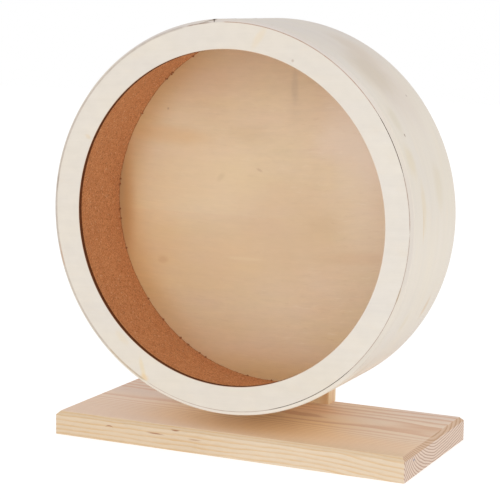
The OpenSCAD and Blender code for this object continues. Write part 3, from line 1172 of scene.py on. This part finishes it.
# %% Tan plywood for the panel
panel_marks = (
    (15, 250, 9, 26, 0, 0.09, (190, 172, 152)),
    (15, 262, 4, 17, 0, 0.17, (160, 144, 130)),
    (-12.7, 199, 3.4, 1.6, -0.4, 0.32, (172, 132, 98)),
    (-44.7, 192, 4.8, 4.2, 0.6, 0.26, (184, 158, 122)),
    (-90, 242, 1.3, 1.3, 0, 0.4, (160, 124, 100)),
    (-94, 125, 6.5, 4.2, 0, 0.28, (196, 146, 96)),
    (-19, 225, 26, 10, 0, 0.18, (210, 184, 142)),
    (42, 161, 26, 11, 0, 0.18, (210, 184, 148)),
    (68, 138, 46, 7, 0.08, 0.22, (226, 184, 138)),
    (-88, 222, 44, 10, -0.03, 0.3, (234, 188, 130)),
    (-62, 262, 44, 28, 0, 0.15, (230, 190, 154)),
    (-25, 131, 20, 1.9, 0, 0.4, (250, 238, 210)),
    (-64, 190, 84, 46, 0, 0.36, (250, 228, 184)),
    (84, 230, 60, 60, 0, 0.55, (250, 240, 226)),
    (0, 142, 110, 40, 0, 0.25, (228, 202, 156)),
    (-104, 142, 40, 34, 0, 0.14, (236, 194, 124)),
    (10, 162, 58, 56, 0, 0.3, (220, 186, 148)),
    (-60, 128, 90, 38, 0, 0.3, (240, 204, 152)),
    (92, 176, 54, 64, 0, 0.35, (246, 226, 206)),
    # The last two rows are painted: an orange glow as if from the cork, and a grey shade at the
    # cork's edge.
    (-132, 168, 17, 96, 0, 0.6, (206, 158, 104)),
    (-133, 178, 8, 60, 0, 0.3, (186, 164, 128)),
)


def panel_veneer():
    finish, place, facing = begin("panel_veneer")
    x, y, z = place.parts()
    flat = place.point(x, z - x * grain_rise - x * x * grain_fan, y)
    colour, rear, fibre = panel_grain(flat, x)
    colour = panel_tones_and_shade(colour, x, z)
    for at_x, at_z, wide, high, slope, depth, tone in panel_marks:
        tilted = place.point(x, 0, z - (x - at_x) * slope)
        spot = tilted.blot((at_x, 0, at_z), (wide, 1, high), 0.2)
        colour = colour.dyed(spot * depth, tone)
    aim_y = facing.parts()[1]
    colour = aim_y.rises(0.2, 0.6).tint(colour, rear)
    wall = (1 - aim_y.size()).rises(0.45, 0.8)
    colour = wall.tint(colour, (1 + fibre * 0.3) * paint(92, 60, 40))
    return close(finish, colour, 0.58 + fibre * 0.05, fibre * 0.015, shine=0.3)


tan_panel = panel_veneer()

# %% [markdown]
# The panel itself is a plain disc, one outline turned about the axle.

# %% Build the panel
panel_edge = eased([
    (0, panel_front, 0),
    (panel_r, panel_front, 0.3),
    (panel_r, panel_back, 0.3),
    (0, panel_back, 0),
])
panel = turned("plywood_back_panel", lambda degrees: panel_edge, full_steps)
settle(panel, tan_panel, "wheel", "panel_plywood", "back_panel")

# %% [markdown]
# ## The cork track
#
# The track is a strip of pressed cork: grains under a millimetre wide, each its own
# brown, with dark gaps between. It was cut with a knife, so its rear edge crumbles, and
# it stands off the skin in one place at the upper left. The chips' places are listed one
# by one. The grains are cells of a Voronoi pattern in space, which needs no unrolling.

# %% Pressed cork
grain_size = 0.95
chip_back = 1.4
chip_front = 3.2
chip_angles = (
    121.9, 131.3, 132.1, 134.4, 149.6, 173.8, 175.6, 184.0, 187.3,
    197.5, 216.5, 225.3, 234.0, 237.6, 242.5, 245.0, 261.3, 270.0,
)


def pressed_cork():
    finish, place, _ = begin("pressed_cork")
    angle, _ = round_the_axle(place, seam)
    small = place / grain_size + place.cloud(2.0, 1.0, 1) * 0.35
    cells = {"Vector": small, "Scale": 1.0}
    own = place.node("TexVoronoi", {"feature": "F1"}, cells, output="Color")
    lot, other, third = own.parts()
    border = place.node("TexVoronoi", {"feature": "DISTANCE_TO_EDGE"}, cells)
    gap = border.falls(0.02, 0.18)
    mottled = place.cloud(6, 3.0, 3)
    broad = place.cloud(40, 1.0, 8)
    colour = lot.tint((216, 146, 94), (242, 180, 128))
    colour = colour.dyed(lot.rises(0.985, 0.99) * 0.5, (250, 218, 182))
    colour = colour.dyed(other.rises(0.93, 0.97) * 0.5, (150, 88, 56))
    colour = colour.dyed(gap * 0.42, (162, 96, 58))
    colour = colour * (1 + mottled * 0.06 + broad * 0.04) * (0.95, 0.98, 1.01)
    depth = place.parts()[1]
    # Painted shade along the rear edge, in the corner against the panel.
    rear = depth.rises(track_back - chip_back, track_back - 0.1)
    colour = colour.dyed(rear * 0.45, (126, 70, 42))
    # Painted shade in the chips torn out of the rear edge.
    ragged = place.cloud(0.8, 1.0, 9) * 0.25
    nearest = (angle - chip_angles[0]).size()
    for chip in chip_angles[1:]:
        nearest = nearest.least((angle - chip).size())
    chip_shade = (nearest + ragged).falls(0.1, 0.5)
    chip_shade = chip_shade * depth.rises(track_back - chip_front, track_back - chip_back)
    colour = colour.dyed(chip_shade * 0.55, (116, 58, 36))
    relief = (third * 0.5 + 0.5) * border.least(0.25) * 0.5
    return close(finish, colour, 0.9, relief, shine=0.2)


brown_cork = pressed_cork()

# %% [markdown]
# The running surface is a radius for every angle and place along the axle, made uneven by
# noise. The bulge and the chips at its rear edge are taken off it, and the angles lie
# closer together where a chip is.

# %% Build the cork track
cork_joint = 78.0
cork_joint_half = 0.3 / track_r * math.degrees(1)
cork_steps = 900
cork_seat = skin_in - 0.02
bulge = 2.1
bulge_reach = 14
bulge_course = (110, 122, 150, 172)
crumble_reach = 2.4
chip_depth = 0.9
chip_half = 0.42
chip_steps = (-0.28, -0.14, 0, 0.14, 0.28)
rear_band = 3
coarse_rows = 28
fine_rows = 7


def bump_at(value, centre, reach):
    """1 at centre and 0 past reach, with a round top."""
    share = min(1.0, abs(value - centre) / reach)
    return (1 - share * share) ** 2


def cork_face(degrees, y):
    """Radius of the running surface."""
    turn = math.radians(degrees)
    ring_place = Vector((math.cos(turn), math.sin(turn), 0)) * track_r
    at = ring_place + Vector((0, 0, y))
    grainy = noise.noise(at * 1.1) * 0.10
    slow = noise.noise(at * 0.05) * 0.2
    rear = max(0.0, 1 - (track_back - y) / bulge_reach)
    stands_off = bulge * np.interp(degrees, bulge_course, (0, 1, 1, 0)) * rear * rear
    edge = max(0.0, 1 - (track_back - y) / crumble_reach)
    crumble = noise.noise(ring_place * 0.8) * 0.3 * edge
    for chip in chip_angles:
        crumble -= chip_depth * bump_at(degrees, chip, chip_half) * edge
    return track_r + grainy + slow - stands_off + crumble


def cork_section(degrees):
    ys = list(np.linspace(track_front, track_back - rear_band, coarse_rows))
    ys += list(np.linspace(track_back - rear_band + 0.4, track_back, fine_rows))
    inner = [(cork_face(degrees, y), y) for y in ys]
    return inner + [(cork_seat, track_back), (cork_seat, track_front)]


first_end = cork_joint + cork_joint_half
last_end = cork_joint + 360 - cork_joint_half
cork_angles = list(np.linspace(first_end, last_end, cork_steps))
cork_angles += [chip + aside for chip in chip_angles for aside in chip_steps]
cork_rows = [on_circle(cork_section(angle), angle) for angle in sorted(cork_angles)]
cork = solid("cork_track", cork_rows, joined=False)
settle(cork, brown_cork, "wheel", "cork", "cork_liner")

# %% [markdown]
# ## The hub
#
# Behind the panel sits a turned block that holds the bearings. A lathe leaves very fine
# rings on it, which are noise that changes with the radius alone. Its growth rings run
# about a far core, like the post's.

# %% Turned pine and the hub
hub_in, hub_r, hub_front, hub_back = turned_size("hub_block")
pocket_r = 11
pocket_front = box_size("front_bearing_outer_race")[1].y
pocket_back = box_size("rear_bearing_outer_race")[0].y
hub_bevel = 2
hub_steps = 180


def turned_pine():
    finish, place, _ = begin("turned_pine")
    _, radius = round_the_axle(place, seam)
    wander = place.cloud((30, 30, 90), 2.0, 5)
    late = rings_about(place, (-60, 90), 0.1, wander, 2.9)
    colour = (late * 0.8).tint((230, 203, 166), (206, 162, 116))
    fibre = place.cloud((0.5, 0.5, 14), 2.0, 6)
    lathe_place = place.point(radius, place.parts()[1], 0)
    tool_marks = lathe_place.cloud((0.35, 0.35, 1), 0.0, 7)
    colour = colour * (1 + fibre * 0.06 + tool_marks * 0.03)
    return close(finish, colour, 0.6, tool_marks * 0.02 + fibre * 0.015, shine=0.35)


hub_edge = eased([
    (pocket_r, hub_front, 0.3),
    (hub_r, hub_front, 0.4),
    (hub_r, hub_back - hub_bevel, 0.8),
    (hub_r - hub_bevel, hub_back, 0.8),
    (pocket_r, hub_back, 0.3),
    (pocket_r, pocket_back, 0),
    (hub_in, pocket_back, 0.2),
    (hub_in, pocket_front, 0.2),
    (pocket_r, pocket_front, 0),
])
hub = turned("turned_hub_block", lambda degrees: hub_edge, hub_steps)
settle(hub, turned_pine(), "wheel", "hub_wood", "hub_block")

# %% [markdown]
# ## Bolt and nut
#
# A hexagon's corners are cut off along a cone, so each flat ends in a curved line. One
# section that changes with the angle gives that: at each angle the flat's distance is
# known, and so is the height of the cone. A thread is the same idea, since its radius
# depends on the angle and on the distance along the axle together.

# %% Hexagons and threads
flat_half = 6.5
cone_foot = flat_half - 0.15
cone_slope = math.tan(math.radians(30))
thread_pitch = 1.25
thread_depth = 0.62
rows_per_turn = 8
steel_steps = 96


def hexagon_r(degrees):
    """Distance from the axle to a hexagon's flat at an angle."""
    return flat_half / math.cos(math.radians((degrees % 60) - 30))


def corner_height(degrees):
    """How far below the end of a hexagon its corner cone meets the flat."""
    return max(0.0, (hexagon_r(degrees) - cone_foot) * cone_slope)


def thread_r(radius, degrees, y):
    """Radius of a thread's surface whose crests lie at the given radius."""
    share = (y / thread_pitch - degrees / 360) % 1
    groove = min(1.0, max(0.0, (abs(share - 0.5) * 2 - 0.12) / 0.72))
    return radius - thread_depth * groove


print("a hexagon's corner is cut back by %.2f mm" % corner_height(0))

# %% [markdown]
# The bolt's outline runs along it: the head with a washer face, the plain shank, the
# thread with its run-in and a chamfered tip.

# %% The outline of the bolt
bolt_low, bolt_high = box_size("axle_bolt")
nut_low, nut_high = box_size("lock_nut")
head_back = box_size("front_bearing_outer_race")[0].y
face_r = 5.8
face_front = head_back - 0.4
shank_r = 3.95
thread_from = nut_low.y - 12
thread_run_in = 2
chamfer = 0.9
tip_end_r = shank_r - 0.85


def bolt_section(degrees):
    cone = corner_height(degrees)
    flat = hexagon_r(degrees)
    outline = [(0, bolt_low.y), (cone_foot, bolt_low.y), (flat, bolt_low.y + cone)]
    outline += [(flat, face_front), (face_r, face_front), (face_r, head_back)]
    outline += [(shank_r, head_back), (shank_r, thread_from)]
    ys = np.arange(thread_from + 0.15, bolt_high.y - 0.02, thread_pitch / rows_per_turn)
    for y in ys:
        run_in = min(1.0, (y - thread_from) / thread_run_in)
        past_chamfer = max(0.0, y - (bolt_high.y - chamfer))
        r = shank_r - (shank_r - thread_r(shank_r, degrees, y)) * run_in
        outline.append((min(r, shank_r - past_chamfer * 0.9), y))
    return outline + [(tip_end_r, bolt_high.y), (0, bolt_high.y)]


print("the bolt is %.1f mm long" % (bolt_high.y - bolt_low.y))

# %% [markdown]
# ### Plated steel
#
# Zinc plating has a faint blue and yellow cast, dulled by handling. The finish mixes the
# two casts with slow noise and roughens them with a finer one.

# %% Metals
def plated(name, base, cast, roughness, scratch=0.08):
    """A plated or ground metal, with a cast in places and fine scratches."""
    finish, place, _ = begin(name)
    slow = place.cloud(5, 2.0, 51)
    fine = place.cloud((0.5, 2.5, 0.5), 2.0, 52)
    colour = (slow * 0.8 + 0.4).tint(base, cast) * (1 + fine * 0.05)
    rough = roughness + slow * 0.06 + fine * scratch
    return close(finish, colour, rough, fine * 0.006, Metallic=1.0)


zinc = plated("zinc_plate", (196, 200, 206), (208, 204, 190), 0.34)
bolt = turned("hexagon_bolt", bolt_section, steel_steps)
settle(bolt, zinc, "stand", "zinc_steel", "axle_bolt")

# %% [markdown]
# ### The lock nut
#
# The nut is a hexagon with a round collar, rolled in over a ring of blue nylon. Its bore
# carries the bolt's thread, a twentieth of a millimetre wider.

# %% Build the lock nut
insert_low, insert_high = box_size("lock_nut_insert")
collar_r = 6.0
collar_round = 0.9
collar_rise = 1.1
lip_r = 4.9
insert_seat_r = 5.2
mouth_play = 0.4
thread_play = 0.06


def nut_section(degrees):
    cone = corner_height(degrees)
    flat = hexagon_r(degrees)
    shoulder = insert_low.y
    outline = [(cone_foot, nut_low.y), (flat, nut_low.y + cone), (flat, shoulder - cone)]
    outline += [(cone_foot, shoulder), (collar_r, shoulder), (collar_r, nut_high.y - collar_rise)]
    for step in range(1, 6):
        turn = math.radians(90 * step / 5)
        r = collar_r - collar_round + collar_round * math.cos(turn)
        outline.append((r, nut_high.y - collar_round + collar_round * math.sin(turn)))
    outline += [(lip_r, nut_high.y), (lip_r, insert_high.y)]
    outline += [(insert_seat_r, insert_high.y), (insert_seat_r, shoulder)]
    ys = np.arange(shoulder - 0.05, nut_low.y + 0.5, -thread_pitch / rows_per_turn)
    outline += [(thread_r(shank_r, degrees, y) + thread_play, y) for y in ys]
    return outline + [(shank_r + mouth_play, nut_low.y)]


nut = turned("hexagon_lock_nut", nut_section, steel_steps)
settle(nut, zinc, "stand", "zinc_steel", "lock_nut")

# %% [markdown]
# ### Washers and spacers
#
# A punched washer has one round edge and one sharp one, and a turned spacer has both
# broken. They differ only in size, finish and edges, so one loop makes them all.

# %% Build the washers and spacers
aluminium = plated("turned_aluminium", (212, 214, 216), (200, 202, 206), 0.3, 0.12)
crisp_edge = 0.15
for node, name, finish, slot_name, round_edge in (
    ("front_post_washer", "front_washer", zinc, "zinc_steel", 0.45),
    ("rear_post_washer", "rear_washer", zinc, "zinc_steel", 0.45),
    ("rear_spacer_ring", "rear_spacer", aluminium, "spacer_aluminium", 0.2),
    ("bearing_spacer_sleeve", "spacer_sleeve", aluminium, "spacer_aluminium", 0.2),
):
    hole_r, rim_r, front, rear = turned_size(node)
    outline = eased([
        (hole_r, front, crisp_edge),
        (rim_r, front, crisp_edge),
        (rim_r, rear, round_edge),
        (hole_r, rear, crisp_edge),
    ])
    disc = turned(name, lambda degrees: outline, steel_steps)
    settle(disc, finish, "stand", slot_name, node)

# %% [markdown]
# ## The hardware that keeps its frame shape
#
# The bearings' parts, the screws and the nylon ring are right as the frame has them, down
# to the grooves and the cross recess. They only get their finishes.

# %% Give the hardware its finishes
ground = plated("ground_steel", (198, 200, 204), (188, 190, 196), 0.16, 0.05)
polished = plated("polished_steel", (214, 216, 220), (206, 208, 214), 0.07, 0.02)
stamped = plated("stamped_sheet", (182, 184, 188), (170, 172, 178), 0.38)
yellow_zinc = plated("yellow_zinc", (212, 190, 126), (196, 178, 150), 0.32)


def nylon(name, tone, deep):
    """Moulded nylon: waxy, slightly mottled, with a faint orange-peel relief."""
    finish, place, _ = begin(name)
    slow = place.cloud(3, 2.0, 61)
    peel = place.cloud(0.4, 1.0, 62)
    colour = (slow * 0.6 + 0.5).tint(tone, deep)
    return close(finish, colour, 0.42 + slow * 0.05, peel * 0.01, Subsurface_Weight=0.1)


cage_nylon = nylon("natural_nylon", (222, 214, 188), (208, 196, 166))
blue_nylon = nylon("blue_nylon", (52, 98, 172), (40, 80, 150))
kept_shapes = [("base_screws", yellow_zinc), ("lock_nut_insert", blue_nylon)]
for end in ("front", "rear"):
    kept_shapes += [
        (end + "_bearing_inner_race", ground),
        (end + "_bearing_outer_race", ground),
        (end + "_bearing_shields", stamped),
        (end + "_bearing_balls", polished),
        (end + "_bearing_cage", cage_nylon),
    ]
for node, finish in kept_shapes:
    materials = frame["nodes"][node].data.materials
    for index in range(len(materials)):
        materials[index] = finish
    print("%s: %s" % (node, finish.name))

# %% [markdown]
# ## The floor
#
# The floor is a white sweep that gives back most of the light, which keeps the underside
# of the drum bright. It glows a little, so that it stays as white as the sky.

# %% Lay the floor
floor_half = 4000
floor_z = -0.1
floor_grey = 0.45
floor_glow = 0.7
sheet = bmesh.new()
corners = [(-1, -1), (1, -1), (1, 1), (-1, 1)]
places = [Vector((u * floor_half, v * floor_half, floor_z)) * mm for u, v in corners]
sheet.faces.new([sheet.verts.new(place) for place in places])
floor_mesh = bpy.data.meshes.new("studio_floor")
sheet.to_mesh(floor_mesh)
sheet.free()
floor = bpy.data.objects.new("studio_floor", floor_mesh)
scene.collection.objects.link(floor)

white_sweep, floor_place, _ = begin("white_sweep")
dust = floor_place.cloud(300, 1.0, 71)
close(
    white_sweep,
    (1 + dust * 0.01) * (floor_grey, floor_grey, floor_grey),
    0.9,
    shine=0.0,
    Emission_Color=(1, 1, 1),
    Emission_Strength=floor_glow,
)
floor.data.materials.append(white_sweep)
print("floor %.1f m across" % (2 * floor_half * mm))
